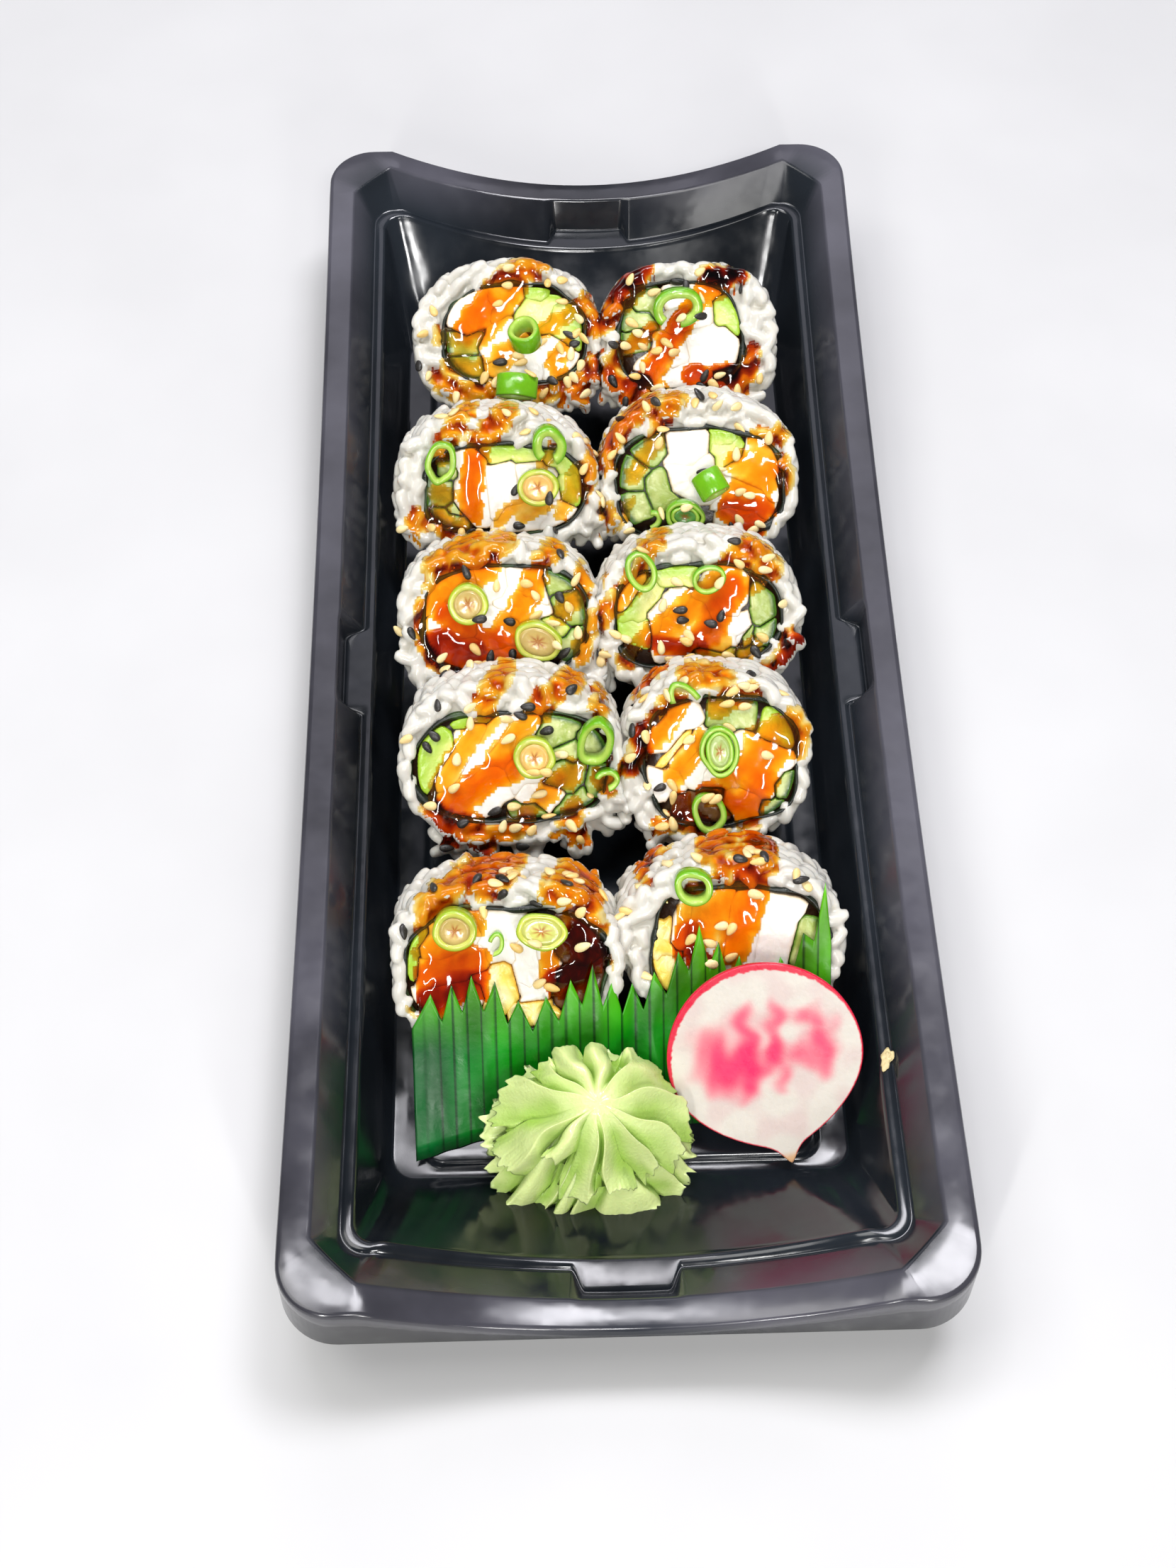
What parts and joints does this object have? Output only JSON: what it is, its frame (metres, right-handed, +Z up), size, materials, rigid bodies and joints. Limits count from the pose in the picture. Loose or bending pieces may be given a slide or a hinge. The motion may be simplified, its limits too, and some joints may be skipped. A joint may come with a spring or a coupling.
{
  "type": "takeaway sushi tray",
  "caption": "Long formed plastic tray with a dipping rim, filled with leaning inside-out roll slices, spring onion rings, a wasabi rosette, a radish cheek and a strip of plastic grass.",
  "frame": {"origin": "middle of the tray's flat underside", "axes": "+Z up, +Y along the tray towards the end away from the wasabi, +X to the right seen from the wasabi end"},
  "size_m": [0.121, 0.281, 0.0425],
  "materials": {
    "tray_plastic": "glossy black formed sheet",
    "roll_rice": "moist cooked rice",
    "spring_onion": "wet cut onion green",
    "leaf_plastic": "thin glossy embossed green film",
    "wasabi_paste": "piped smooth paste",
    "radish_skin": "smooth skin with a wet pale cut face"
  },
  "bodies": {
    "root": {"tray": "tray_plastic", "roll_1": "roll_rice", "roll_2": "roll_rice", "roll_3": "roll_rice", "roll_4": "roll_rice", "roll_5": "roll_rice", "roll_6": "roll_rice", "roll_7": "roll_rice", "roll_8": "roll_rice", "roll_9": "roll_rice", "roll_10": "roll_rice", "onion_1": "spring_onion", "onion_2": "spring_onion", "onion_3": "spring_onion", "onion_4": "spring_onion", "onion_5": "spring_onion", "onion_6": "spring_onion", "onion_7": "spring_onion", "onion_8": "spring_onion", "onion_9": "spring_onion", "onion_10": "spring_onion", "onion_11": "spring_onion", "onion_12": "spring_onion", "onion_13": "spring_onion", "onion_14": "spring_onion", "onion_15": "spring_onion", "onion_16": "spring_onion", "onion_17": "spring_onion", "onion_18": "spring_onion", "onion_19": "spring_onion", "onion_20": "spring_onion", "onion_21": "spring_onion", "onion_22": "spring_onion", "onion_23": "spring_onion", "onion_24": "spring_onion", "grass": "leaf_plastic", "wasabi": "wasabi_paste", "radish": "radish_skin"}
  },
  "joints": []
}
